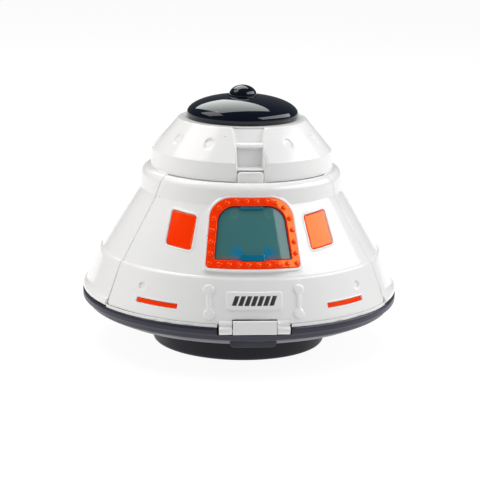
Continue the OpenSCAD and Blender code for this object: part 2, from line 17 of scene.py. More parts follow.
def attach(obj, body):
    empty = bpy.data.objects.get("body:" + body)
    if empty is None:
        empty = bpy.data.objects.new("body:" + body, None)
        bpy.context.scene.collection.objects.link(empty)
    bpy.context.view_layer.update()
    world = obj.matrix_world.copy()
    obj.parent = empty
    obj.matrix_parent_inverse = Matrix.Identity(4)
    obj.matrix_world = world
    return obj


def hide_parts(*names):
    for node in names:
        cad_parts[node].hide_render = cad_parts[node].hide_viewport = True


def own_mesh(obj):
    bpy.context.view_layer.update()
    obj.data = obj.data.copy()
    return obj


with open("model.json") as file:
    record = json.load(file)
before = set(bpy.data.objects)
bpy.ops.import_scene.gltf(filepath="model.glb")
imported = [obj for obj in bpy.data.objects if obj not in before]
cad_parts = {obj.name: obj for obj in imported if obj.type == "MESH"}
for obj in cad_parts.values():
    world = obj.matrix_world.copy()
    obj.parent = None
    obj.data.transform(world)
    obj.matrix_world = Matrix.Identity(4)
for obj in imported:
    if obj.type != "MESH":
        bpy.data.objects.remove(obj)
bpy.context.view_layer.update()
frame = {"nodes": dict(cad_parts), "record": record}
MM = 0.001
WELD = 1e-7
TAU = 2 * math.pi
ROUND = (math.radians(-165), math.radians(195))  # where the maps of whole rings are cut
ROUND_GRID = np.arange(ROUND[0] + 0.026, ROUND[1] - 0.02, 0.026)

# ---------------------------------------------------------------- sizes shared with the CAD, mm
WALL = 2.0
HATCH_AZ = 60.5
REAR_AZ = 60.72
BAND_FOOT, BAND_TOP = (81.45, 30.0), (73.5, 50.4)
SLOPE_FOOT, SLOPE_TOP = (72.3, 51.0), (53.0, 81.9)
COLLAR_R, COLLAR_Z = 52.6, (82.7, 88.6)
MOUTH = (47.9, 93.4)
PAD_FOOT, PAD_TOP = (72.1, 54.0), (52.6, 87.0)
PAD_SLOPE = (PAD_FOOT[0] - PAD_TOP[0]) / (PAD_TOP[1] - PAD_FOOT[1])
FRAME_PROUD = 0.35
HINGE_Y, HINGE_Z = -80.4, 26.5
EAR_X, EAR_R = (11.15, 17.5), 2.1
NOTCH_TOP = 31.87
PANE_AZ, PANE_Z, PANE_SIZE = 35.0, 70.0, (15.1, 18.4)
SLOT_AZ, SLOT_Z = (28.3, 45.8), (34.9, 37.1)
RAIL_AZ, RAIL_Z, RAIL_TURN = math.degrees(math.asin(22.1 / 77.6)), 39.3, 6.3
HOLLOW_AZ, HOLLOW_Z = 44.8, 42.5
PLATE_Z, PLATE_SIZE = 40.4, (27.2, 8.8)
PULL_W, PULL_Z = 13.0, (91.5, 98.7)
LENS_TAB_HALF, LENS_TAB_Z = 5.6, ((58.6, 61.5), (81.8, 82.9))
LENS_NOTCH = (5.7, 58.45)
CONE_FOOT, CONE_TOP = (46.9, 102.9), (34.0, 118.0)


# ---------------------------------------------------------------- plane outlines
def arc(centre, radii, start, end, steps):
    """Points on an ellipse's arc, with angles in degrees."""
    angles = np.radians(np.linspace(start, end, steps + 1))
    return [(centre[0] + radii[0] * math.cos(a), centre[1] + radii[1] * math.sin(a)) for a in angles]


def soften(points, steps=5):
    """An open line of (x, y) or (x, y, corner radius) points, with each corner turned into an arc."""
    line = [points[0][:2]]
    for before, corner, after in zip(points, points[1:], points[2:]):
        if len(corner) < 3:
            line.append(corner)
            continue
        b = Vector(corner[:2])
        u, v = (Vector(before[:2]) - b).normalized(), (Vector(after[:2]) - b).normalized()
        half = u.angle(v) / 2
        middle = b + (u + v).normalized() * corner[2] / math.sin(half)
        first = b + u * corner[2] / math.tan(half) - middle
        turn = math.pi - 2 * half
        sign = 1 if u.cross(v) < 0 else -1
        for i in range(steps + 1):
            a = sign * turn * i / steps
            spin = Vector((first.x * math.cos(a) - first.y * math.sin(a),
                           first.x * math.sin(a) + first.y * math.cos(a)))
            line.append(tuple(middle + spin))
    line.append(points[-1][:2])
    return line


def divide(points, spacing, closed=True):
    """The same line with its long stretches divided."""
    ends = list(zip(points, points[1:] + points[:1])) if closed else list(zip(points, points[1:]))
    line = []
    for a, b in ends:
        n = max(1, math.ceil(math.dist(a, b) / spacing))
        line += [(a[0] + (b[0] - a[0]) * i / n, a[1] + (b[1] - a[1]) * i / n) for i in range(n)]
    return line if closed else line + [points[-1]]


def rounded_rect(width, height, corner, grow=0.0):
    w, h, r = width / 2 + grow, height / 2 + grow, max(corner + grow, 0.05)
    return (arc((w - r, h - r), (r, r), 0, 90, 6) + arc((r - w, h - r), (r, r), 90, 180, 6)
            + arc((r - w, r - h), (r, r), 180, 270, 6) + arc((w - r, r - h), (r, r), 270, 360, 6))


def pane_outline(side, grow=0.0):
    """A side pane: it leans away from the front at its top, and its outer end sits higher."""
    lean, lift = 0.128, 0.1
    flat = divide(rounded_rect(*PANE_SIZE, 1.6, grow), 1.2)
    return [(x + side * lean * y, y + side * lift * x) for x, y in flat]


def circle(radius, steps=28, stretch=1.0):
    return arc((0, 0), (radius, radius * stretch), 0, 360 - 360 / steps, steps - 1)


def swapped(outline, near, stretch):
    """A closed outline with its points that are near replaced by another stretch of line."""
    gone = [near(q) for q in outline]
    start = next(i for i, out in enumerate(gone) if not out and gone[i - 1])
    return stretch + [q for q in outline[start:] + outline[:start] if not near(q)]


def dog_bone(disc, half, bar, grow=0.0, turn=0.0):
    """Two discs on a bar along y, turned clockwise by degrees."""
    r = disc + grow
    neck = math.degrees(math.asin((bar / 2 + grow) / r))
    line = arc((0, half), (r, r), neck - 90, 270 - neck, 22)
    line += arc((0, -half), (r, r), neck + 90, 450 - neck, 22)
    c, s = math.cos(math.radians(turn)), math.sin(math.radians(turn))
    return [(x * c + y * s, y * c - x * s) for x, y in line]


def window_outline(half, z, shoulder, radii, corner, grow=0.0, notch=None):
    """A window's front outline in x and z: square feet, elliptical shoulders and an optional notch."""
    right = arc((half + grow - corner, z[0] - grow + corner), (corner, corner), -90, 0, 5)
    right += arc((shoulder, z[1] - radii[1]), (radii[0] + grow, radii[1] + grow), 0, 90, 16)
    if notch:
        right = [(notch[0] + grow, notch[1] - grow), (notch[0] + grow, z[0] - grow)] + right
    return right + [(-x, y) for x, y in reversed(right)]


def frame_outline(grow=0.0):
    return window_outline(23.4, (55.0, 86.7), 9.0, (11.9, 10.5), 1.6, grow)


def opening_outline(grow=0.0, notch=None):
    return window_outline(19.2, (58.9, 83.1), 7.8, (9.3, 8.3), 0.5, grow, notch)


def inset(polygon, distance):
    """A closed counter-clockwise outline moved inward, corner by corner."""
    p = np.array(polygon, float)
    ahead, behind = np.roll(p, -1, 0) - p, p - np.roll(p, 1, 0)
    ahead /= np.linalg.norm(ahead, axis=1)[:, None]
    behind /= np.linalg.norm(behind, axis=1)[:, None]
    n0, n1 = np.stack([-behind[:, 1], behind[:, 0]], 1), np.stack([-ahead[:, 1], ahead[:, 0]], 1)
    middle = n0 + n1
    middle /= np.linalg.norm(middle, axis=1)[:, None]
    reach = distance / np.maximum((middle * n0).sum(1), 0.4)
    return [tuple(q) for q in p + middle * reach[:, None]]


def inside(points, polygon):
    """Which of the points lie in a closed outline."""
    x, y = np.array(points, float).reshape(-1, 2).T
    found = np.zeros(len(x), bool)
    for (x0, y0), (x1, y1) in zip(polygon, list(polygon[1:]) + [polygon[0]]):
        if y0 != y1:
            found ^= ((y0 > y) != (y1 > y)) & (x < (x1 - x0) * (y - y0) / (y1 - y0) + x0)
    return found


# ---------------------------------------------------------------- lines turned round the axis
class Line:
    """A shell's outer line in radius and height, counted in millimetres along its length."""

    def __init__(self, points):
        self.p = np.array(points, float)
        self.s = np.concatenate([[0], np.cumsum(np.linalg.norm(np.diff(self.p, axis=0), axis=1))])
        step = np.diff(self.p, axis=0)
        self.n = np.stack([step[:, 1], -step[:, 0]], 1) / np.linalg.norm(step, axis=1)[:, None]

    def at(self, s, d=0.0):
        """Radius and height at length s, moved outward by d."""
        r, z = np.interp(s, self.s, self.p[:, 0]), np.interp(s, self.s, self.p[:, 1])
        i = min(max(int(np.searchsorted(self.s, s + 1e-9)) - 1, 0), len(self.n) - 1)
        n = self.n[i].copy()
        if i > 0 and abs(self.s[i] - s) < 1e-6:
            n += self.n[i - 1]
            n /= np.linalg.norm(n)
        return float(r + n[0] * d), float(z + n[1] * d)

    def s_at(self, z):
        """Length at height z, on a line that climbs."""
        return float(np.interp(z, self.p[:, 1], self.s))

    def rows(self, step):
        """Lengths of the line's own points and of points between them."""
        found = []
        for a, b in zip(self.s, self.s[1:]):
            n = max(1, math.ceil((b - a) / step))
            found += [a + (b - a) * i / n for i in range(n)]
        return found + [float(self.s[-1])]

    def on_skin(self, azimuth, z, outline):
        """An outline in x round the shell and y up it, laid on the shell."""
        s0 = self.s_at(z)
        return [(math.radians(azimuth) + math.asin(x / self.at(s0 + y)[0]), s0 + y) for x, y in outline]


def lean_r(a, b, z, d=0.0):
    """Radius of the straight line from a to b at height z, moved outward by d along its normal."""
    slope = (b[0] - a[0]) / (b[1] - a[1])
    return a[0] + slope * (z - a[1]) + d * math.hypot(1, slope)


def pad_r(z, d=0.0):
    return lean_r(PAD_FOOT, PAD_TOP, z, d)


PAD_LINE = Line([(pad_r(z), z) for z in (52, 90)])


def on_pad(outline, line=PAD_LINE, spacing=0.9):
    """A window outline in x and z, divided and laid on the raised pad, in that line's lengths."""
    return [(math.asin(x / pad_r(z)), line.s_at(z)) for x, z in divide(outline, spacing)]


class Sheet:
    """A wall wrapped round the axis. border and features hold loops in (azimuth, length) that carry
    their front and back places in (radius, height)."""

    def __init__(self, line, back, step=2.0):
        self.line, self.back, self.step = line, back, step
        self.mean_r = float(line.p[:, 0].mean())
        self.points, self.front, self.rear = [], [], []
        self.edges, self.kept_out, self.holes, self.tops = [], [], [], []
        self.border = self.field = None

    def flat(self, polygon):
        return [(a * self.mean_r, s) for a, s in polygon]

    def skin(self, depth=0.0):
        """The place of a point on the line, moved outward by depth."""
        return lambda a, s: self.line.at(s, depth)

    def add(self, a, s, front, rear=None):
        self.points.append((a * self.mean_r, s))
        self.front.append(front)
        self.rear.append(rear or self.back(a, s))

    def loop(self, polygon, place, rear=None):
        """A closed loop of edges. place and rear give (radius, height) from (azimuth, length)."""
        first, n = len(self.points), len(polygon)
        for a, s in polygon:
            self.add(a, s, place(a, s), rear(a, s) if rear else None)
        self.edges += [(first + i, first + (i + 1) % n) for i in range(n)]

    def outer(self, outline, steps, margin=0.4):
        """The outer edge: outline(grow) for each step of (grow, depth)."""
        for grow, depth in steps:
            ring = outline(grow)
            self.loop(ring, self.skin(depth))
            self.border = self.border or self.flat(ring)
        self.field = inset(self.flat(ring), margin)

    def rim(self, polygon, crisp_from=1e9):
        """The outer edge with a soft lip, much flatter past crisp_from."""
        self.border = self.flat(polygon)
        for distance, depth in LIPS:
            ring = inset(self.border, distance) if distance else self.border
            self.loop([(x / self.mean_r, y) for x, y in ring],
                      lambda a, s: self.line.at(s, -depth * (0.15 if s > crisp_from else 1.0)))
        self.field = inset(self.border, LIPS[-1][0] + 0.35)

    def feature(self, loops, hole=False, top=None):
        """Loops from the outside in, each (outline, place) or (outline, place, rear)."""
        for loop in loops:
            self.loop(*loop)
        outer, inner = self.flat(loops[0][0]), self.flat(loops[-1][0])
        if hole:
            self.holes.append(inner)
        self.kept_out.append((inset(outer, -0.35), None if hole or top is None else inset(inner, 0.35)))
        self.tops.append(top)

    def shaped(self, steps, outline, **options):
        """A feature with outline(grow) for each step of (grow, depth)."""
        self.feature([(outline(grow), self.skin(depth)) for grow, depth in steps], **options)

    def fill(self, azimuths, lengths, depth):
        """Points in the field at one depth."""
        cells = [(math.radians(az), s) for az in azimuths for s in lengths]
        for (a, s), good in zip(cells, inside(self.flat(cells), self.field)):
            if good:
                self.add(a, s, self.line.at(s, depth))

    def grid(self, azimuths):
        """Points over the whole field, apart from where loops are close."""
        cells = np.array([(a * self.mean_r, s) for s in self.line.rows(self.step) for a in azimuths])
        ok = inside(cells, self.field)
        places = [self.skin()] * len(cells)
        for (outer, inner), top in zip(self.kept_out, self.tops):
            within = inside(cells, inner) if inner else np.zeros(len(cells), bool)
            ok &= ~inside(cells, outer) | within
            for i in np.flatnonzero(within):
                places[i] = top
        for (x, s), good, place in zip(cells, ok, places):
            if good:
                self.add(x / self.mean_r, s, place(x / self.mean_r, s))

    def mesh(self, name, closed=False):
        """Triangulates the map and returns a two-faced mesh object in metres. The ends of a closed
        map meet, so they get no wall."""
        verts, _, faces, came_from, _, _ = delaunay_2d_cdt(
            [Vector(p) for p in self.points], self.edges, [], 0, 1e-5)
        front, rear = [], []
        for (x, s), sources in zip(verts, came_from):
            a = x / self.mean_r
            pair = self.line.at(s), self.back(a, s)
            if sources:
                pair = self.front[sources[0]], self.rear[sources[0]]
            for (r, z), found in zip(pair, (front, rear)):
                found.append((r * math.sin(a), -r * math.cos(a), z))
        flat = np.array(verts)
        centres = np.array([flat[list(f)].mean(0) for f in faces])
        keep = inside(centres, self.border)
        for hole in self.holes:
            keep &= ~inside(centres, hole)
        faces = [tuple(f) for f, good in zip(faces, keep) if good]
        n, used = len(front), dict.fromkeys((i, j) for f in faces for i, j in zip(f, f[1:] + f[:1]))
        walls, ends = [], (flat[:, 0].min(), flat[:, 0].max())
        for i, j in used:
            at_end = closed and any(max(abs(flat[[i, j], 0] - end)) < 1e-3 for end in ends)
            if (j, i) not in used and not at_end:
                walls.append((j, i, i + n, j + n))
        return solid(name, front + rear, faces + [tuple(i + n for i in reversed(f)) for f in faces] + walls)


def solid(name, verts, faces):
    """A clean mesh object from millimetres: doubles merged, faces outward, shaded smooth."""
    bm = bmesh.new()
    made = [bm.verts.new([c * MM for c in v]) for v in verts]
    for f in faces:
        corners = [made[i] for i in f]
        if len(set(f)) > 2 and not bm.faces.get(corners):
            bm.faces.new(corners)
    bmesh.ops.remove_doubles(bm, verts=bm.verts, dist=WELD)
    bmesh.ops.dissolve_degenerate(bm, edges=bm.edges, dist=WELD)
    bmesh.ops.delete(bm, geom=[v for v in bm.verts if not v.link_faces], context="VERTS")
    bmesh.ops.recalc_face_normals(bm, faces=bm.faces)
    obj = placed(name, bm)
    for p in obj.data.polygons:
        p.use_smooth = True
    return obj


def placed(name, bm):
    """A new object in the scene, with that mesh."""
    mesh = bpy.data.meshes.new(name)
    bm.to_mesh(mesh)
    bm.free()
    obj = bpy.data.objects.new(name, mesh)
    bpy.context.scene.collection.objects.link(obj)
    return obj


def join(first, *others):
    """Adds the others' meshes to the first."""
    bm = bmesh.new()
    for obj in (first, *others):
        obj.data.transform(obj.matrix_world)
        bm.from_mesh(obj.data)
        if obj is not first:
            bpy.data.objects.remove(obj)
    first.matrix_world = Matrix.Identity(4)
    bm.to_mesh(first.data)
    bm.free()
    return first


def turned(name, points, steps=144):
    """A closed solid turned round the axis, from a line of (radius, height) that starts and ends
    at radius 0 or closes on itself."""
    verts, faces, n = [], [], len(points)
    for i in range(steps):
        a = TAU * i / steps
        verts += [(r * math.sin(a), -r * math.cos(a), z) for r, z in points]
    closes = points[0][0] > 1e-6
    for i in range(steps):
        k = (i + 1) % steps
        for j in range(n if closes else n - 1):
            m = (j + 1) % n
            faces.append((i * n + j, k * n + j, k * n + m, i * n + m))
    return solid(name, verts, faces)


def block(name, outline, low, high, bevel, place):
    """An outline extruded from low to high with round end edges. place gives x, y, z from (u, v, w)."""
    rings = []
    for end, sign, turns in [(low, 1, (0, 30, 60, 90)), (high, -1, (90, 60, 30, 0))]:
        for a in np.radians(turns):
            ring = inset(outline, bevel * (1 - math.sin(a)))
            rings.append((ring, end + sign * bevel * (1 - math.cos(a))))
    n = len(outline)
    verts = [place(u, v, w) for ring, w in rings for u, v in ring]
    faces = [tuple(range(n)), tuple(range(len(verts) - n, len(verts)))]
    for k in range(0, len(verts) - n, n):
        faces += [(k + i, k + (i + 1) % n, k + n + (i + 1) % n, k + n + i) for i in range(n)]
    return solid(name, verts, faces)


# ---------------------------------------------------------------- materials
def node(tree, kind, inputs, **settings):
    """A shader node's outputs. Each of its inputs is given a value, or a link from a socket."""
    made = tree.nodes.new("ShaderNode" + kind)
    for key, value in settings.items():
        setattr(made, key, value)
    for key, value in inputs.items():
        if isinstance(value, bpy.types.NodeSocket):
            tree.links.new(value, made.inputs[key])
        else:
            made.inputs[key].default_value = value
    return made.outputs


def product(tree, a, b):
    return node(tree, "Math", {0: a, 1: b}, operation="MULTIPLY")[0]


def ramp(tree, source, low, high, out_low, out_high):
    """source mapped from low..high to out_low..out_high."""
    return node(tree, "MapRange", {"Value": source, "From Min": low, "From Max": high,
                                   "To Min": out_low, "To Max": out_high})["Result"]


def noise(tree, coords, scale, detail=3.0, stretch=None):
    """Noise over the object, scale in features per metre."""
    if stretch:
        coords = node(tree, "Mapping", {"Vector": coords, "Scale": stretch})["Vector"]
    return node(tree, "TexNoise", {"Vector": coords, "Scale": scale, "Detail": detail})["Fac"]


def blend_colour(tree, amount, a, b):
    """Mixes a colour or a colour socket with another colour."""
    a = a if isinstance(a, bpy.types.NodeSocket) else (*a, 1.0)
    return node(tree, "Mix", {"Factor": amount, 6: a, 7: (*b, 1.0)}, data_type="RGBA")[2]


def plastic(name, colour, tint, rough, grain=0.02, grain_scale=2500, speck=None, speck_scale=95,
            ior=1.5, alpha=1.0, scuff=0.08, metallic=0.0, tint_of_gloss=(1, 1, 1)):
    """Moulded plastic: slow colour drift, patchy gloss, fine scuffs, mould grain and stray specks."""
    material = bpy.data.materials.new(name)
    material.use_nodes = True
    tree = material.node_tree
    shader = tree.nodes["Principled BSDF"].inputs
    coords = node(tree, "TexCoord", {})["Object"]
    drift = ramp(tree, noise(tree, coords, 22, 4), 0.35, 0.65, 0, 1)
    body = blend_colour(tree, drift, colour, tint)
    if speck:
        cells = node(tree, "TexVoronoi", {"Vector": coords, "Scale": speck_scale})
        near = ramp(tree, cells["Distance"], 0.022, 0.034, 1, 0)
        rare = node(tree, "SeparateColor", {"Color": cells["Color"]})["Red"]
        body = blend_colour(tree, product(tree, near, ramp(tree, rare, 0.72, 0.74, 0, 0.8)), body, speck)
    tree.links.new(body, shader["Base Color"])
    patch = ramp(tree, noise(tree, coords, 70, 5), 0.3, 0.7, *rough)
    lines = ramp(tree, noise(tree, coords, 260, 2, (0.06, 1.0, 2.2)), 0.66, 0.74, 0, scuff)
    tree.links.new(node(tree, "Math", {0: patch, 1: lines}, operation="ADD")[0], shader["Roughness"])
    height = noise(tree, coords, grain_scale, 2)
    bump = node(tree, "Bump", {"Strength": grain, "Distance": 0.0004, "Height": height})
    tree.links.new(bump["Normal"], shader["Normal"])
    shader["IOR"].default_value = ior
    shader["Alpha"].default_value = alpha
    shader["Metallic"].default_value = metallic
    shader["Specular Tint"].default_value = (*tint_of_gloss, 1)
    return material


MATERIALS = {name: plastic(name, *colours, **looks) for name, colours, looks in [
    ("white_plastic", [(0.80, 0.80, 0.79), (0.83, 0.825, 0.815), (0.1, 0.17)], {"speck": (0.25, 0.22, 0.2)}),
    ("orange_plastic", [(1.0, 0.027, 0.0), (1.0, 0.036, 0.0), (0.08, 0.13)],
     {"ior": 1.6, "tint_of_gloss": (1.0, 0.96, 0.27)}),
    ("slate_plastic", [(0.024, 0.024, 0.041), (0.029, 0.028, 0.047), (0.30, 0.40), 0.05], {"ior": 1.42}),
    ("charcoal_plastic", [(0.010, 0.008, 0.014), (0.013, 0.010, 0.017), (0.38, 0.5), 0.06], {"ior": 1.33}),
    ("black_gloss", [(0.002, 0.0035, 0.009), (0.003, 0.005, 0.012), (0.02, 0.05), 0.004],
     {"speck": (0.4, 0.43, 0.46), "speck_scale": 170, "scuff": 0.03, "ior": 1.45}),
    ("lens_plastic", [(0.055, 0.19, 0.195), (0.06, 0.2, 0.205), (0.04, 0.09), 0.003],
     {"speck": (0.3, 0.35, 0.36), "alpha": 0.82, "scuff": 0.05}),
    ("lens_tab", [(0.0, 0.12, 0.22), (0.0, 0.15, 0.26), (0.06, 0.12), 0.003], {}),
    # Dark navy painted shade for the gap between the window frame and the lens.
    ("lens_gap_shade", [(0.012, 0.035, 0.10), (0.02, 0.05, 0.13), (0.06, 0.12), 0.003], {}),
    ("seat_plastic", [(0.10, 0.115, 0.14), (0.12, 0.135, 0.16), (0.45, 0.6), 0.25, 1400], {}),
    ("steel", [(0.55, 0.55, 0.56), (0.63, 0.62, 0.6), (0.22, 0.38), 0.05, 900], {"metallic": 1.0}),
    ("contact_brass", [(0.7, 0.5, 0.22), (0.76, 0.58, 0.3), (0.25, 0.4), 0.05], {"metallic": 1.0}),
    ("board_green", [(0.012, 0.13, 0.05), (0.016, 0.16, 0.06), (0.3, 0.42), 0.1, 1100], {}),
    ("component_black", [(0.02, 0.02, 0.022), (0.03, 0.03, 0.032), (0.4, 0.55), 0.15], {}),
    ("led_red", [(0.6, 0.03, 0.02), (0.7, 0.04, 0.03), (0.08, 0.14)], {"alpha": 0.85}),
    ("wire_red", [(0.45, 0.015, 0.015), (0.52, 0.02, 0.02), (0.35, 0.5), 0.08], {}),
]}


def lens_tints(material):
    """Bluer feet beside the lower tab, a painted warm reflection of the orange frame along the foot, and two
    pale moulded rounds under the upper corners. Places are in metres."""
    tree = material.node_tree
    colour = tree.nodes["Principled BSDF"].inputs["Base Color"]
    axes = node(tree, "SeparateXYZ", {0: node(tree, "TexCoord", {})["Object"]})
    across, up = node(tree, "Math", {0: axes["X"]}, operation="ABSOLUTE")[0], axes["Z"]

    def zone(first, second):
        return product(tree, ramp(tree, *first), ramp(tree, *second))

    beside = zone((across, 0.0050, 0.0056, 0, 1), (across, 0.0082, 0.0124, 1, 0))
    feet = product(tree, beside, ramp(tree, up, 0.0626, 0.0657, 0.9, 0))
    body = blend_colour(tree, feet, colour.links[0].from_socket, (0.0, 0.22, 0.42))
    # Painted reflection: a warm reddish band of the orange frame's light along the lens's foot, outside the
    # lower tab.
    painted_frame_reflection = zone((across, 0.0062, 0.0080, 0, 1), (up, 0.0597, 0.0612, 0.6, 0))
    body = blend_colour(tree, painted_frame_reflection, body, (0.22, 0.13, 0.13))
    place = node(tree, "CombineXYZ", {"X": across, "Z": up})[0]
    away = node(tree, "VectorMath", {0: place, 1: (0.0086, 0, 0.0793)}, operation="DISTANCE")["Value"]
    rounds = zone((away, 0.0021, 0.0024, 1, 0), (away, 0, 0.0023, 0.1, 0.4))
    tree.links.new(blend_colour(tree, rounds, body, (0.12, 0.25, 0.25)), colour)


lens_tints(MATERIALS["lens_plastic"])


def dress(obj, slot, body=None, *nodes, material=None):
    """Gives a piece its material and slot, and puts it on its body in place of CAD nodes."""
    obj.data.materials.clear()
    obj.data.materials.append(MATERIALS[material or slot])
    if body:
        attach(obj, body)
    if nodes:
        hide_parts(*nodes)
    return obj


# ---------------------------------------------------------------- shells of the capsule
# Edges of raised and sunk shapes, each step a growth of the outline and a depth
RAISED_BY = 0.7
RAISED = [(0.55, 0.0), (0.3, 0.02), (0.12, 0.12), (0.04, 0.28), (-0.02, 0.42), (-0.1, 0.56), (-0.24, 0.66),
          (-0.42, RAISED_BY), (-0.6, RAISED_BY)]
ROUNDED = [(0.45, 0.0), (0.2, 0.02), (0.06, 0.1), (0.0, 0.26), (-0.08, 0.42), (-0.26, 0.58), (-0.52, 0.68),
           (-0.8, 0.72)]
BEAD_POCKET = [(1.45, 0.0), (1.25, 0.02), (1.1, 0.1), (0.92, 0.2), (0.7, 0.25), (0.45, 0.22), (0.22, 0.1),
               (0.1, -0.05), (0.06, -0.25), (0.04, -1.3)]
SMALL_POCKET = [(0.85, 0.0), (0.7, 0.02), (0.55, 0.09), (0.4, 0.11), (0.24, 0.04), (0.12, -0.12),
                (0.06, -0.4),
                (0.04, -1.3)]
GATE_MARK = [(0.8, 0.0), (0.66, 0.02), (0.56, 0.1), (0.42, 0.14), (0.3, 0.12), (0.18, 0.02)]
LIPS = [(0.0, 0.42), (0.05, 0.25), (0.14, 0.12), (0.28, 0.03), (0.45, 0.0)]


def dish_steps(radius, depth):
    """Steps of a round hollow with a soft edge and a flat bottom."""
    shares = [(1.25, 0.0), (1.1, 0.04), (1.0, 0.2), (0.93, 0.52), (0.86, 0.84), (0.76, 0.98), (0.5, 1.0),
              (0.2, 1.0)]
    return [(radius * share, -depth * deep) for share, deep in shares]


def shell_skin():
    """The line above the band: slope, collar and rolled top edge."""
    roll_r = MOUTH[0] + 0.6
    roll = arc((roll_r, COLLAR_Z[1]), (COLLAR_R - roll_r, MOUTH[1] - COLLAR_Z[1]), 8, 90, 9)
    return [(*SLOPE_TOP, 1.2), (COLLAR_R, COLLAR_Z[0], 0.5), (COLLAR_R, COLLAR_Z[1]), *roll, MOUTH]


def inner_face(marks):
    """A shell's rear from marks of (length, radius, height)."""
    s, r, z = zip(*marks)
    return lambda a, length: (float(np.interp(length, s, r)), float(np.interp(length, s, z)))


def shell_marks(line):
    """Inner face beside the slope and collar, matched where the outer line turns."""
    marks = [(50.3, lean_r(BAND_FOOT, BAND_TOP, 48.6, -WALL), 48.6),
             (51.2, lean_r(SLOPE_FOOT, SLOPE_TOP, 50.4, -WALL), 50.4),
             (81.9, lean_r(SLOPE_FOOT, SLOPE_TOP, 81.3, -WALL), 81.3),
             (83.0, COLLAR_R - WALL, 83.3), (88.6, COLLAR_R - WALL, 88.0), (92.4, 49.7, 91.1)]
    return [(line.s_at(z), r, z_in) for z, r,
            z_in in marks] + [(float(line.s[-1]), MOUTH[0], MOUTH[1] - WALL)]


def sides(low, high, rows):
    """A closed outline between two azimuths and over all the rows, counter-clockwise."""
    across = np.linspace(low, high, max(2, round(abs(high - low) / 0.028)))
    return ([(a, rows[0]) for a in across[:-1]] + [(high, s) for s in rows[:-1]]
            + [(a, rows[-1]) for a in across[:0:-1]] + [(low, s) for s in rows[:0:-1]])


def cut_corners(outline, mean_r, radii):
    """Rounds the map's corners: lower left, lower right, upper right, upper left."""
    (low, s0), (high, s1) = np.min(outline, 0), np.max(outline, 0)
    spots = [(low, s0, 1, 1, 180), (high, s0, -1, 1, 270), (high, s1, -1, -1, 0), (low, s1, 1, -1, 90)]
    for (a, s, da, ds, turn), radius in zip(spots, radii):
        centre = (a + da * radius / mean_r, s + ds * radius)
        outline = swapped(outline, lambda q: max((q[0] - centre[0]) * da, (q[1] - centre[1]) * ds) < 1e-9,
                          arc(centre, (radius / mean_r, radius), turn, turn + 90, 6))
    return outline


def edge_lean(line, s):
    """How far round, in radians, the hatch's side edges have leaned inward at s over the collar."""
    angle, highest = math.radians(27), 7.5
    climbed = min(max(s - line.s_at(COLLAR_Z[0]), 0.0), highest)
    return math.tan(angle) * climbed / line.at(s)[0]


def hatch_edge(line):
    """The hatch's outline, with the notch over the middle knuckle and rounded corners."""
    foot_r, mean_r = 81.0, 66.0
    half, top = EAR_X[0], line.s_at(NOTCH_TOP)
    low, high = -math.radians(HATCH_AZ), math.radians(HATCH_AZ)
    edge = cut_corners(sides(low, high, line.rows(2.0)), mean_r, (1.8, 1.8, 1.2, 1.2))
    notch = soften([(-half, 0.0), (-half, top, 0.5), (half, top, 0.5), (half, 0.0)], 4)
    notch = divide([(math.asin(x / foot_r), s) for x, s in notch], 1.5, closed=False)
    limit = math.asin(half / foot_r) + 0.01
    edge = swapped(edge, lambda q: q[1] < 1e-9 and abs(q[0]) < limit, notch)
    return [(a * (1 - edge_lean(line, s) / high), s) for a, s in edge]


def window_loops(line):
    """The raised pad, the frame's seat and the ledge under the lens, down to the sight opening."""
    def place(share, d):
        def put(a, s):
            r, z = line.at(s)
            return r + share * max(0.0, pad_r(z) - r) + d * math.hypot(1, PAD_SLOPE), z
        return put

    rising = [(1.9, 0.0, 0.0), (1.6, 0.04, 0.0), (1.42, 0.18, 0.0), (1.34, 0.45, 0.0), (1.3, 0.8, -0.02),
              (1.24, 1.0, -0.1), (1.14, 1.0, 0.06), (1.0, 1.0, 0.2), (0.8, 1.0, 0.28), (0.58, 1.0, 0.28),
              (0.36, 1.0, 0.24), (0.18, 1.0, 0.17), (0.08, 1.0, 0.07), (0.05, 1.0, -0.1), (0.04, 1.0, -1.66)]
    ledge = [(0.06, -1.66), (0.0, -2.66), (-0.9, -2.68), (-1.0, -2.8)]
    return ([(on_pad(frame_outline(g), line), place(share, d)) for g, share, d in rising]
            + [(on_pad(opening_outline(g), line), place(1.0, d)) for g, d in ledge])


def front_hatch():
    foot_z = 29.6
    line = Line(soften([(lean_r(BAND_FOOT, BAND_TOP, foot_z), foot_z), (*BAND_TOP, 2.4), (*SLOPE_FOOT, 1.1),
                        *shell_skin()]))
    foot = (line.s_at(30.0), lean_r(BAND_FOOT, BAND_TOP, 30, -WALL), 30.0)
    sheet = Sheet(line, inner_face([foot] + shell_marks(line)))

    def rail(side, grow):
        bone = dog_bone(2.7, 6.0, 2.4, grow, side * RAIL_TURN)
        return line.on_skin(side * RAIL_AZ, RAIL_Z, divide(bone, 0.8))

    def plate(grow):
        return line.on_skin(0, PLATE_Z, divide(rounded_rect(*PLATE_SIZE, 1.3, grow), 1.2))

    sheet.rim(hatch_edge(line))
    sheet.feature(window_loops(line), hole=True)
    for side in (-1, 1):
        sheet.shaped(BEAD_POCKET, lambda g: line.on_skin(side * PANE_AZ, PANE_Z, pane_outline(side, g)),
                     hole=True)
        sheet.shaped(SMALL_POCKET, lambda g: slot_outline(line, side, g), hole=True)
        sheet.shaped(ROUNDED, lambda g: rail(side, g))
        sheet.shaped(dish_steps(2.15, 0.7), lambda r: line.on_skin(side * HOLLOW_AZ, HOLLOW_Z, circle(r)))
    sheet.shaped(RAISED, plate, top=sheet.skin(RAISED_BY))
    sheet.shaped(GATE_MARK, lambda r: line.on_skin(-1.2, 91.0, circle(r, 14)))
    sheet.grid(np.radians(np.arange(-61, 61.1, 1.5)))
    return dress(join(sheet.mesh("hatch_shell"), *pull_tab(), *ears()), "white_plastic", "hatch",
                 "front_hatch")


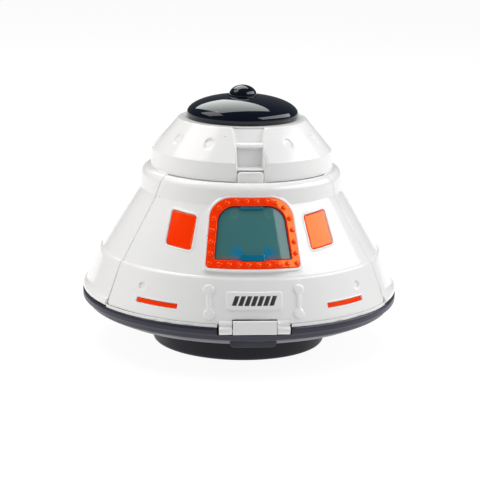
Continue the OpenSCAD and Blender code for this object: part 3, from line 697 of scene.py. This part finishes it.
def pull_tab():
    """The tab over the nose cone's channel, slightly hollow at its back, and its root."""
    low, high = PULL_Z
    tab = [(x, z + (low + high) / 2) for x, z in rounded_rect(PULL_W, high - low, 1.7)]
    return (block("pull_tab", tab, 46.1, 48.0, 0.7, lambda u, v, w: (u, 0.006 * u * u - w, v)),
            block("tab_root", rounded_rect(PULL_W, 2.9, 0.3), low, 93.35, 0.1, lambda u, v,
                  w: (u, v - 47.7, w)))


def ears():
    """The hinge's two outer knuckles, each with a web up to the hatch."""
    web_y, web_z = (HINGE_Y - 0.4, HINGE_Y + 2.0), 31.2
    web = [(web_y[0], HINGE_Z), (web_y[0], web_z), (web_y[1], web_z), (web_y[1], HINGE_Z)]
    knuckle = arc((HINGE_Y, HINGE_Z), (EAR_R, EAR_R), 0, 352, 44)
    return [block("ear", outline, EAR_X[0] + lift, EAR_X[1] - lift, 0.25, lambda u, v, w: (side * w, u, v))
            for side in (-1, 1) for outline, lift in ((knuckle, 0.0), (web, 0.03))]


def slot_outline(line, side, grow):
    """A slot bar's outline on the band: level edges, ends along the slope."""
    mean_r = 79.2
    low, high = line.s_at(SLOT_Z[0]), line.s_at(SLOT_Z[1])
    flat = rounded_rect(math.radians(SLOT_AZ[1] - SLOT_AZ[0]) * mean_r, high - low, 0.3, grow)
    middle = math.radians(side * sum(SLOT_AZ) / 2)
    return [(middle + x / mean_r, (low + high) / 2 + y) for x, y in divide(flat, 1.4)]


def inlay(outline, line, face, lip):
    """A moulded insert with a soft lip round its face. outline is a function of growth."""
    sheet = Sheet(line, lambda a, s: line.at(s, -2.3))
    sheet.outer(lambda grow: outline(grow - 0.03), [
        (0.0, face - lip * 0.95), (-lip * 0.08, face - lip * 0.75), (-lip * 0.86, face - lip * 0.1),
        (-lip * 0.95, face - lip * 0.03), (-lip - 0.05, face), (-lip - 0.2, face)])
    return sheet


def side_pane(side):
    line, face = Line([(lean_r(SLOPE_FOOT, SLOPE_TOP, z), z) for z in (52, 90)]), -0.1
    sheet = inlay(lambda g: line.on_skin(side * PANE_AZ, PANE_Z, pane_outline(side, g)), line, face, 0.6)
    sheet.fill(np.arange(-46, 46.1, 1.5), np.arange(1, 44, 2.0), face)
    name = "side_pane_" + ("left" if side < 0 else "right")
    return dress(sheet.mesh(name + "_inlay"), "orange_plastic", "hatch", name)


def slot_bar(side):
    line = Line([BAND_FOOT, BAND_TOP])
    sheet = inlay(lambda g: slot_outline(line, side, g), line, -0.32, 0.35)
    name = "slot_bar_" + ("left" if side < 0 else "right")
    return dress(sheet.mesh(name + "_inlay"), "orange_plastic", "hatch", name)


def plate_mark():
    """Plain slanted bars printed on the raised plate."""
    line, bars, pitch = Line([BAND_FOOT, BAND_TOP]), [], 3.05
    bar = divide([(-2.0, -2.4), (0.2, -2.4), (2.0, 2.4), (-0.2, 2.4)], 0.8)
    for i in range(-3, 4):
        sheet = Sheet(line, lambda a, s: line.at(s, RAISED_BY - 0.01))
        ring = line.on_skin(0, PLATE_Z, [(x + i * pitch, y) for x, y in bar])
        sheet.outer(lambda grow: ring, [(0.0, RAISED_BY + 0.03)])
        bars.append(sheet.mesh("plate_mark"))
    return dress(join(*bars), "component_black", "hatch")


def window_frame():
    """Riveted frame: a band with soft edges, notched for the lens's lower tab."""
    sheet = Sheet(PAD_LINE, lambda a, s: PAD_LINE.at(s, -1.58))
    sheet.outer(lambda g: on_pad(frame_outline(g)),
                [(0.01, -0.05), (-0.03, 0.14), (-0.12, 0.27), (-0.28, 0.34), (-0.5, FRAME_PROUD)])
    for g, d in [(0.5, FRAME_PROUD), (0.34, 0.33), (0.18, 0.24), (0.07, 0.06), (0.04, -0.25)]:
        ring = on_pad(opening_outline(g, LENS_NOTCH))
        sheet.loop(ring, sheet.skin(d))
    sheet.holes.append(sheet.flat(ring))
    rivets = [rivet(math.asin(x / pad_r(z, FRAME_PROUD)), PAD_LINE.at(PAD_LINE.s_at(z), FRAME_PROUD)[0], z)
              for x, z in rivet_places()]
    return dress(join(sheet.mesh("window_frame_band"), *rivets), "orange_plastic", "hatch", "window_frame")


def rivet_places():
    """Ten along the foot, three up each side, three round each shoulder and four along the top."""
    places = [(-21.7 + i * 43.4 / 9, 56.9) for i in range(10)]
    for side in (-1, 1):
        places += [(side * (21.7 - 0.55 * i), 56.1 + 5.2 * i) for i in range(1, 4)]
        places += [(side * (8 + x), 76.2 + z) for a in (5, 42, 68) for x,
                   z in arc((0, 0), (10.8, 8.6), a, a, 0)]
    return places + [(-7.4 + i * 14.8 / 3, 85.2) for i in range(4)]


def rivet(azimuth, r, z):
    """A domed rivet head with a soft foot, standing on the frame."""
    profile = [(0.0, -0.35), (1.55, -0.35), (1.52, 0.0), (1.42, 0.03), (1.34, 0.1),
               *arc((0, 0.14), (1.3, 0.8), 0, 82, 9), (0.0, 0.94)]
    head = turned("rivet", profile, 28)
    head.matrix_world = (Matrix.Rotation(azimuth, 4, "Z") @ Matrix.Translation((0, -r * MM, z * MM))
                         @ Matrix.Rotation(math.pi / 2 - math.atan(PAD_SLOPE), 4, "X"))
    return head


def window_lens():
    face = -0.9
    sheet = Sheet(PAD_LINE, lambda a, s: PAD_LINE.at(s, -2.5))
    sheet.outer(lambda g: on_pad(opening_outline(g)),
                [(-0.12, -1.2), (-0.16, -1.02), (-0.3, -0.92), (-0.5, face), (-0.8, face)], margin=0.5)
    sheet.fill(np.arange(-19, 19.1, 1.5), np.arange(6, 40, 2.0), face)
    return dress(sheet.mesh("window_pane"), "lens_plastic", "hatch", "window_lens")


def lens_rim():
    """The raised edge of the lens, close inside the frame, coloured dark navy as painted shade in the gap
    between frame and lens.
    """
    steps = [(-0.1, -0.8), (-0.15, -0.66), (-0.25, -0.6), (-0.36, -0.64), (-0.42, -0.88)]
    sheet = Sheet(PAD_LINE, lambda a, s: PAD_LINE.at(s, -1.1))
    sheet.outer(lambda g: on_pad(opening_outline(g)), steps)
    sheet.holes.append(sheet.flat(on_pad(opening_outline(steps[-1][0]))))
    return dress(sheet.mesh("lens_rim"), "lens_plastic", "hatch", material="lens_gap_shade")


def lens_tabs():
    """The two snap tabs of the lens, of thicker and darker plastic."""
    tabs = []
    for low, high in LENS_TAB_Z:
        def outline(grow):
            flat = rounded_rect(2 * LENS_TAB_HALF, high - low, 0.36, grow)
            return on_pad([(x, y + (low + high) / 2) for x, y in flat], spacing=1.0)
        sheet = Sheet(PAD_LINE, lambda a, s: PAD_LINE.at(s, -2.45))
        sheet.outer(outline, [(0.0, -0.15), (-0.05, 0.0), (-0.2, 0.08), (-0.35, 0.1)])
        tabs.append(sheet.mesh("lens_tabs"))
    return dress(join(*tabs), "lens_plastic", "hatch", material="lens_tab")


def rear_shell():
    bead = arc((80.15, 30.2), (2.35, 2.35), -72, 76, 12)
    line = Line(soften([(79.4, 27.95), *bead, (*BAND_TOP, 2.4), (*SLOPE_FOOT, 1.1), *shell_skin(),
                        (47.62, 93.6), (47.52, 93.72)]))
    bead_s = float(line.s[np.argmax(line.p[:, 1] > 30.2)])
    sheet = Sheet(line, inner_face([(0.0, 79.3, 27.95), (bead_s, 79.2, 31.0)] + shell_marks(line)), 3.0)
    low, half = math.radians(REAR_AZ), math.pi - math.radians(REAR_AZ)
    edge = cut_corners(sides(low, TAU - low, line.rows(3.0)), sheet.mean_r, (1.6, 1.6, 1.0, 1.0))
    sheet.rim([(math.pi + (a - math.pi) * (1 + edge_lean(line, s) / half), s) for a, s in edge],
              line.s[-1] - 0.6)
    sheet.grid(np.arange(low - 0.08, TAU - low + 0.08, math.radians(1.5)))
    shell, posts = sheet.mesh("rear_shell_wall"), []
    for azimuth in (100, 180, 260):
        boss = block("boss", circle(3.2, 32), 29.5, 41.5, 0.25, lambda u, v, w: (u, v - 71.5, w))
        rib = block("rib", rounded_rect(2, 7, 0.2), 31.0, 41.5, 0.15,
                    lambda u, v, w: (u, v - 72.2 - (41.5 - w) * 0.12, w))
        posts += [(boss, azimuth), (rib, azimuth)]
    for azimuth in (110, 180, 250):
        lug = block("lug", rounded_rect(9, 14, 0.6), 89.1, 90.9, 0.25, lambda u, v, w: (u, v - 44.8, w))
        posts.append((lug, azimuth))
    for post, azimuth in posts:
        post.matrix_world = Matrix.Rotation(math.radians(azimuth), 4, "Z")
    return dress(join(shell, *[post for post, _ in posts]), "white_plastic", "capsule", "rear_shell")


def channel_half(z):
    """Half the width of the nose cone's front channel at a height."""
    return 6.9 + max(0.0, z - 109) * 0.13


def channel_back():
    """The line of the channel's back, with its ledges."""
    def cone(z, d):
        return lean_r(CONE_FOOT, CONE_TOP, z, d), z
    points = [(44.2, 91.0), (44.2, 98.7, 0.2), (45.4, 98.9, 0.15), (45.4, 99.6, 0.25), (40.4, 100.0, 0.4),
              (38.6, 109.3, 0.3), (*cone(109.8, -0.8), 0.15), (*cone(111.2, -0.6), 0.25),
              (*cone(111.6, -2.2), 0.3), (*cone(117.4, -1.5), 1.0), (31.6, 118.56)]
    return soften(points, 4)


def upper_cone():
    line = Line(soften([(47.2, 91.0), (47.2, 93.5), (47.5, 93.62, 0.05), (*CONE_FOOT, 0.7),
                        (33.55, 118.5, 0.9),
                        (25.4, 118.7)], 6))
    inner = inner_face([(0.0, 45.2, 91.0), (line.s_at(93.62), 45.3, 93.6), (line.s_at(102.9), 44.9, 102.2),
                        (line.s_at(117.0), 32.0, 116.7), (float(line.s[-1]), 25.4, 116.7)])
    floor_r, floor_z = zip(*channel_back())
    low_s, top_s, channel_wall = line.s_at(91.6), line.s_at(118.3) + 1.6, 1.6
    floor_s = [line.s_at(z) for z in floor_z[:-1]] + [top_s]

    def back(a, s):
        r, z = inner(a, s)
        if abs(math.sin(a)) * 45 < 11 and math.cos(a) > 0 and s < line.s_at(117.4):
            r = min(r, float(np.interp(s, floor_s, floor_r)) - channel_wall)
        return r, z

    def rim(d):
        return lambda a, s: line.at(s, d * min(1.0, max(0.12, (top_s - s) / 1.2)))

    def floor(a, s):
        return float(np.interp(s, floor_s, floor_r)), float(np.interp(s, floor_s, floor_z))

    def outline(g):
        first, last = low_s - g * 0.4, top_s + g
        lengths = [first] + [t for t in floor_s if first + 0.02 < t < last - 0.02] + [last]
        lengths = [t for i, t in enumerate(lengths) if i == 0 or t - lengths[i - 1] > 0.015]
        right = [(channel_half(line.at(t)[1]) + g, t) for t in lengths]
        over = [(x, last) for x in np.linspace(right[-1][0], -right[-1][0], 12)[1:-1]]
        under = [(x, first) for x in np.linspace(-right[0][0], right[0][0], 10)[1:-1]]
        flat = right + over + [(-x, t) for x, t in reversed(right)] + under
        return [(math.asin(x / line.at(t)[0]), t) for x, t in flat]

    sheet = Sheet(line, back)
    edge = sides(*ROUND, line.rows(2.0))
    sheet.border = sheet.flat(edge)
    sheet.loop(edge, sheet.skin())
    sheet.field = inset(sheet.border, 1e-3)
    for azimuth in [*range(30, 181, 30), *range(-150, -29, 30)]:
        z, stretch = (105.8, 1.35) if abs(azimuth) == 90 else (110.8, 1.2)
        sheet.shaped(dish_steps(2.65, 0.6), lambda r: line.on_skin(azimuth, z, circle(r, 28, stretch)))
    edges = [(0.6, 0.0), (0.4, -0.02), (0.22, -0.1), (0.09, -0.25), (0.03, -0.45)]
    sheet.feature([(outline(g), rim(d)) for g, d in edges] + [(outline(-0.03), floor)])
    for s in [t for t in floor_s if low_s + 0.1 < t < top_s - 0.1]:
        half = channel_half(line.at(s)[1]) - 0.3
        for x in np.linspace(-half, half, 9):
            sheet.add(math.asin(x / line.at(s)[0]), s, floor(0, s))
    sheet.grid(ROUND_GRID)
    return dress(sheet.mesh("nose_cone", closed=True), "white_plastic", "capsule", "upper_cone")


def nose_dome():
    shell = arc((0, 120.9), (29.1, 9.8), 0, 74, 28)
    hole = [(7.64, 130.35), (7.54, 130.28), (7.5, 130.1), (7.5, 129.2)]
    under = arc((0, 121.0), (27.1, 7.9), 74, 10, 12)
    foot = [(23.4, 120.3), (23.4, 115.7), (25.2, 115.7), (25.2, 118.78)]
    brim = [(28.3, 118.76)] + arc((26.4, 120.9), (2.7, 3.4), -37, -6, 9)
    return dress(turned("dome_cap", shell + hole + under + foot + brim, 192), "black_gloss", "capsule",
                 "nose_dome")


def nose_button():
    stem = [(0.0, 118.8), (1.8, 118.8), (2.0, 119.0), (2.0, 126.3)]
    flange = [(9.0, 126.3), (9.2, 126.5), (9.2, 127.7), (9.0, 127.9), (7.2, 127.9)]
    cap = arc((0, 130.4), (7.2, 5.2), 0, 84, 16) + [(0.0, 135.6)]
    return dress(turned("nub", stem + flange + cap, 96), "black_gloss", "button", "nose_button")


def press_spring():
    """The button's coil spring, wound between the ends of the CAD spring."""
    cad = frame["nodes"]["button_spring"]
    heights = [(cad.matrix_world @ v.co).z / MM for v in cad.data.vertices]
    coil, wire, turns, steps, sides_of_wire, travel = 5.6, 0.35, 6, 32, 12, 1.6
    low, high = min(heights) + wire, max(heights) - wire
    verts, faces, n = [], [], sides_of_wire
    for i in range(turns * steps + 1):
        a, z = TAU * i / steps, low + (high - low) * i / (turns * steps)
        verts += [((coil + x) * math.cos(a), (coil + x) * math.sin(a), z + y) for x, y in circle(wire, n)]
    for k in range(0, turns * steps * n, n):
        faces += [(k + i, k + n + i, k + n + (i + 1) % n, k + (i + 1) % n) for i in range(n)]
    faces += [tuple(range(n)), tuple(range(len(verts) - n, len(verts)))]
    spring = dress(solid("press_spring", verts, faces), "steel", "capsule", "button_spring")
    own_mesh(spring)


def base_dish():
    line = Line(soften([(0.3, 13.95), (46.0, 13.95, 1.0), (60.0, 15.4, 6.0), (70.7, 16.6, 1.0),
                        (75.2, 18.6, 0.6),
                        (77.6, 19.8, 0.5), (79.1, 20.8, 0.5), (80.2, 23.2, 0.35), (82.0, 23.8, 0.3),
                        (82.45, 24.5, 0.3), (82.5, 27.7)], 4))
    marks = [(15.3, 59.0, 17.3), (16.7, 70.2, 18.7), (18.7, 74.4, 20.4), (20.8, 77.0, 22.0),
             (23.4, 78.4, 25.0),
             (24.5, 80.3, 25.6)]
    inner = [(0.0, 0.3, 15.95), *[(line.s_at(z), r, z_in) for z, r, z_in in marks],
             (float(line.s[-1]), 80.5, 27.75)]
    sheet = Sheet(line, inner_face(inner), 3.0)
    top, notch_s = float(line.s[-1]), line.s_at(24.0)
    half = math.asin((EAR_X[1] + 0.9) / 82.0)
    notch = soften([(half, top), (half, notch_s, 0.004), (-half, notch_s, 0.004), (-half, top)], 3)
    edge = swapped(sides(*ROUND, line.rows(3.0)), lambda q: q[1] > top - 1e-9 and abs(q[0]) < half + 0.01,
                   divide(notch, 0.02, closed=False))
    sheet.border = sheet.flat(edge)
    sheet.loop(edge, sheet.skin())
    sheet.field = inset(sheet.border, 0.02)
    for azimuth, radius in [(100, 71.5), (180, 71.5), (-100, 71.5), (35, 64.0), (-35, 64.0)]:
        z = float(np.interp(radius, line.p[:, 0], line.p[:, 1]))

        def well(grow):
            return line.on_skin(azimuth, z, circle(3.1 + grow))
        sheet.feature([(well(0.4), sheet.skin()), (well(0.15), sheet.skin(-0.04)),
                       (well(0.02), sheet.skin(-0.3)),
                       (well(-0.02), lambda a, t: (line.at(t)[0], 23.7), lambda a,
                        t: (line.at(t)[0], 26.0))])
    sheet.grid(ROUND_GRID)
    dish = sheet.mesh("dish_wall", closed=True)
    lip = block("finger_lip", [(x * (1 + 0.018 * z), z + 18.5) for x, z in rounded_rect(23.2, 4.2, 2.0)],
                69.0, 76.2, 0.5, lambda u, v, w: (u, -w, v))
    return dress(join(dish, lip), "slate_plastic", "capsule", "base_dish")


def bevelled(name, width, angle=35):
    """A CAD node's own shape, welded, with its sharp edges rounded."""
    bm = bmesh.new()
    bm.from_mesh(frame["nodes"][name].data)
    bmesh.ops.remove_doubles(bm, verts=bm.verts, dist=2e-6)
    bmesh.ops.dissolve_limit(bm, angle_limit=math.radians(0.5), verts=bm.verts, edges=bm.edges)
    sharp = [e for e in bm.edges if len(e.link_faces) == 2 and e.calc_face_angle(0) > math.radians(angle)]
    bmesh.ops.bevel(bm, geom=sharp, offset=width * MM, segments=3, profile=0.6, affect="EDGES",
                    clamp_overlap=True, offset_type="OFFSET")
    bmesh.ops.recalc_face_normals(bm, faces=bm.faces)
    obj = placed(name + "_piece", bm)
    with bpy.context.temp_override(object=obj, active_object=obj, selected_objects=[obj],
                                   selected_editable_objects=[obj]):
        bpy.ops.object.shade_smooth_by_angle(angle=math.radians(32))
    return dress(obj, SLOTS[name], BODY_OF[name], name)


SLOTS = {row["node"]: row["material_slot"] for row in frame["record"]["subparts"]}
BODY_OF = {n: body for body, nodes in frame["record"]["behaviour"]["bodies"].items() for n in nodes}

for node_name, cad_node in frame["nodes"].items():
    cad_node.data.materials.clear()
    cad_node.data.materials.append(MATERIALS[SLOTS[node_name]])

front_hatch()
for hatch_side in (-1, 1):
    side_pane(hatch_side)
    slot_bar(hatch_side)
plate_mark()
window_frame()
window_lens()
lens_rim()
lens_tabs()
press_spring()
rear_shell()
upper_cone()
nose_dome()
nose_button()
base_dish()
for plain in ("foot", "floor_deck", "cabin_seat"):
    bevelled(plain, 0.35)


# ---------------------------------------------------------------- camera, floor and light
HEADING = math.radians(5.7)


def seen(x, y, z):
    """A place given from the camera's heading: x to the right, y away, z up, in metres."""
    c, s = math.cos(HEADING), math.sin(HEADING)
    return Vector((x * c + y * s, y * c - x * s, z))


def camera():
    """The viewing angle: a little to the object's left, looking a little down."""
    data = bpy.data.cameras.new("camera")
    data.sensor_width, data.lens = 36.0, 137.25
    obj = bpy.data.objects.new("camera", data)
    bpy.context.scene.collection.objects.link(obj)
    pitch, roll = math.radians(13.22), math.radians(1.13)
    turn = Matrix.Rotation(-HEADING, 4, "Z") @ Matrix.Rotation(math.pi / 2 - pitch, 4, "X")
    obj.matrix_world = Matrix.Translation(seen(0, -0.941, 0.274)) @ turn @ Matrix.Rotation(roll, 4, "Z")
    bpy.context.scene.camera = obj


def soft_box(name, place, target, size, radiance, colour=(1, 1, 1), mirrored=True, lit=True, turn=0.0):
    """A rectangular light of that brightness. Without a target it faces down. One that isn't mirrored
    leaves no highlight, and one that isn't lit only leaves a highlight."""
    data = bpy.data.lights.new(name, "AREA")
    data.shape, data.size, data.size_y, data.color = "RECTANGLE", size[0], size[1], colour
    data.energy = radiance * math.pi * size[0] * size[1]
    obj = bpy.data.objects.new(name, data)
    bpy.context.scene.collection.objects.link(obj)
    facing = Matrix.Identity(4)
    if target is not None:
        facing = (target - place).to_track_quat("-Z", "Y").to_matrix().to_4x4()
    obj.matrix_world = Matrix.Translation(place) @ facing @ Matrix.Rotation(turn, 4, "Z")
    obj.visible_glossy, obj.visible_diffuse = mirrored, lit


def studio():
    scene = bpy.context.scene
    scene.view_settings.view_transform = "Standard"
    mesh = bpy.data.meshes.new("floor")
    mesh.from_pydata([(-6, -6, 0), (6, -6, 0), (6, 6, 0), (-6, 6, 0)], [], [(0, 1, 2, 3)])
    floor = bpy.data.objects.new("floor", mesh)
    scene.collection.objects.link(floor)
    paint = bpy.data.materials.new("pale_floor")
    paint.use_nodes = True
    shader = paint.node_tree.nodes["Principled BSDF"]
    shader.inputs["Base Color"].default_value = (0.09, 0.09, 0.09, 1)
    shader.inputs["Roughness"].default_value = 0.9
    shader.inputs["Specular IOR Level"].default_value = 0.1
    shader.inputs["Emission Color"].default_value = (1, 1, 1, 1)
    shader.inputs["Emission Strength"].default_value = 0.94
    floor.data.materials.append(paint)
    world = bpy.data.worlds.new("studio")
    scene.world = world
    world.use_nodes = True
    world.node_tree.nodes["Background"].inputs["Color"].default_value = (0.85, 0.92, 1.0, 1)
    world.node_tree.nodes["Background"].inputs["Strength"].default_value = 0.12
    aim = Vector((0, 0, 0.1))
    soft_box("right_box", seen(0.735, -0.06, 0.62), aim, (1.25, 0.44), 4.4, lit=False, turn=-0.32)
    soft_box("left_box", seen(-0.50, 0.06, 0.72), aim, (0.44, 0.40), 3.0, (1.0, 0.95, 0.93))
    soft_box("back_strip", seen(-0.24, 0.83, 0.86), None, (0.70, 1.29), 4.0, (0.97, 1.0, 0.97), lit=False,
             turn=math.atan2(0.39, 0.92) - HEADING)
    soft_box("right_fill", seen(0.94, 0.06, 0.56), aim, (1.0, 0.5), 4.3, mirrored=False)
    soft_box("left_fill", seen(-0.95, 0.0, 0.32), aim, (0.8, 0.6), 2.2, (1.0, 0.985, 0.95), mirrored=False)
    soft_box("back_fill", seen(0.1, 0.9, 0.75), aim, (1.0, 0.6), 1.3, mirrored=False)
    soft_box("top_fill", seen(0.0, -0.10, 1.15), aim, (1.2, 1.2), 2.3, mirrored=False)


camera()
studio()
